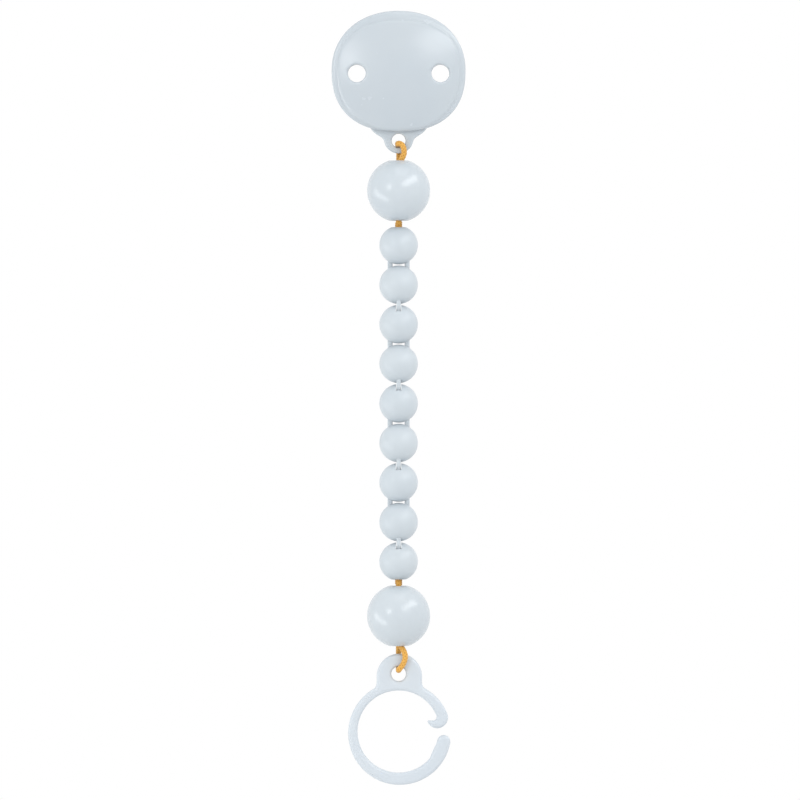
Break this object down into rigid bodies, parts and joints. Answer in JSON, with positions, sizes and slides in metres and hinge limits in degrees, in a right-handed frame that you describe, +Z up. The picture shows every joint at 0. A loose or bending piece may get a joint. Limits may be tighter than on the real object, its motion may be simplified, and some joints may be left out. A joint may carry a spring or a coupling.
{
  "type": "soother holder",
  "caption": "Garment clip with a domed oval cover, carrying a chain of linked balls and two large beads down to an open hook ring that holds a soother.",
  "frame": {"origin": "middle of the clip's gripping line, on the rear face of the clip base", "axes": "+Z up as the holder hangs, the chain runs along -Z; the domed front cover faces -Y; +X is to the right seen from the front"},
  "size_m": [0.0388, 0.0197, 0.2243],
  "materials": {
    "clip": "satin moulded plastic, pale blue grey",
    "jaw": "satin moulded plastic, pale blue grey",
    "ball": "satin moulded plastic, pale blue grey",
    "link_pin": "satin moulded plastic pin",
    "bead": "glossy moulded plastic, pale blue grey",
    "ring": "smooth moulded plastic, pale blue grey",
    "cord": "braided mustard yellow cord",
    "steel": "drawn stainless wire and pin"
  },
  "bodies": {
    "clip": {"clip_cover": "clip", "clip_base": "clip", "jaw_pin": "steel", "jaw_spring": "steel"},
    "jaw": {"clip_jaw": "jaw"},
    "upper_cord": {"upper_cord": "cord"},
    "upper_bead": {"upper_bead": "bead"},
    "ball_1": {"small_ball_1": "ball", "upper_knot": "cord"},
    "ball_2": {"small_ball_2": "ball", "ball_pin_2": "link_pin"},
    "ball_3": {"small_ball_3": "ball", "ball_pin_3": "link_pin"},
    "ball_4": {"small_ball_4": "ball", "ball_pin_4": "link_pin"},
    "ball_5": {"small_ball_5": "ball", "ball_pin_5": "link_pin"},
    "ball_6": {"small_ball_6": "ball", "ball_pin_6": "link_pin"},
    "ball_7": {"small_ball_7": "ball", "ball_pin_7": "link_pin"},
    "ball_8": {"small_ball_8": "ball", "ball_pin_8": "link_pin"},
    "ball_9": {"small_ball_9": "ball", "ball_pin_9": "link_pin", "lower_knot": "cord"},
    "lower_cord": {"lower_cord": "cord"},
    "lower_bead": {"lower_bead": "bead"},
    "hook_ring": {"hook_ring": "ring"}
  },
  "joints": [
    {"name": "jaw_open", "type": "hinge", "parent": "clip", "child": "jaw", "pos_m": [0, 0.0036, -0.0175], "axis": [-1, 0, 0], "range_deg": [0, 22], "stiffness_Nm_per_rad": 0.1, "springref_deg": -57.3, "deforming": ["jaw_spring"]},
    {"name": "clip_eyelet_swing", "type": "hinge", "parent": "clip", "child": "upper_cord", "pos_m": [0, -0.001, -0.0342], "axis": [0, 1, 0], "range_deg": [-50, 50]},
    {"name": "upper_bead_spin", "type": "hinge", "parent": "upper_cord", "child": "upper_bead", "pos_m": [0, -0.001, -0.04765], "axis": [0, 0, 1], "continuous": true},
    {"name": "ball_1_swing", "type": "hinge", "parent": "upper_cord", "child": "ball_1", "pos_m": [0, -0.001, -0.0585], "axis": [1, 0, 0], "range_deg": [-22, 22]},
    {"name": "link_1_2_swing", "type": "hinge", "parent": "ball_1", "child": "ball_2", "pos_m": [0, -0.001, -0.07187], "axis": [0, 1, 0], "range_deg": [-25, 25]},
    {"name": "link_2_3_swing", "type": "hinge", "parent": "ball_2", "child": "ball_3", "pos_m": [0, -0.001, -0.08334], "axis": [1, 0, 0], "range_deg": [-25, 25]},
    {"name": "link_3_4_swing", "type": "hinge", "parent": "ball_3", "child": "ball_4", "pos_m": [0, -0.001, -0.09481], "axis": [0, 1, 0], "range_deg": [-25, 25]},
    {"name": "link_4_5_swing", "type": "hinge", "parent": "ball_4", "child": "ball_5", "pos_m": [0, -0.001, -0.10628], "axis": [1, 0, 0], "range_deg": [-25, 25]},
    {"name": "link_5_6_swing", "type": "hinge", "parent": "ball_5", "child": "ball_6", "pos_m": [0, -0.001, -0.11775], "axis": [0, 1, 0], "range_deg": [-25, 25]},
    {"name": "link_6_7_swing", "type": "hinge", "parent": "ball_6", "child": "ball_7", "pos_m": [0, -0.001, -0.12922], "axis": [1, 0, 0], "range_deg": [-25, 25]},
    {"name": "link_7_8_swing", "type": "hinge", "parent": "ball_7", "child": "ball_8", "pos_m": [0, -0.001, -0.14069], "axis": [0, 1, 0], "range_deg": [-25, 25]},
    {"name": "link_8_9_swing", "type": "hinge", "parent": "ball_8", "child": "ball_9", "pos_m": [0, -0.001, -0.15216], "axis": [1, 0, 0], "range_deg": [-25, 25]},
    {"name": "lower_cord_swing", "type": "hinge", "parent": "ball_9", "child": "lower_cord", "pos_m": [0, -0.001, -0.16006], "axis": [1, 0, 0], "range_deg": [-22, 22]},
    {"name": "lower_bead_spin", "type": "hinge", "parent": "lower_cord", "child": "lower_bead", "pos_m": [0, -0.001, -0.17096], "axis": [0, 0, 1], "continuous": true},
    {"name": "hook_ring_swing", "type": "hinge", "parent": "lower_cord", "child": "hook_ring", "pos_m": [0, -0.001, -0.1867], "axis": [0, 1, 0], "range_deg": [-45, 45]}
  ]
}
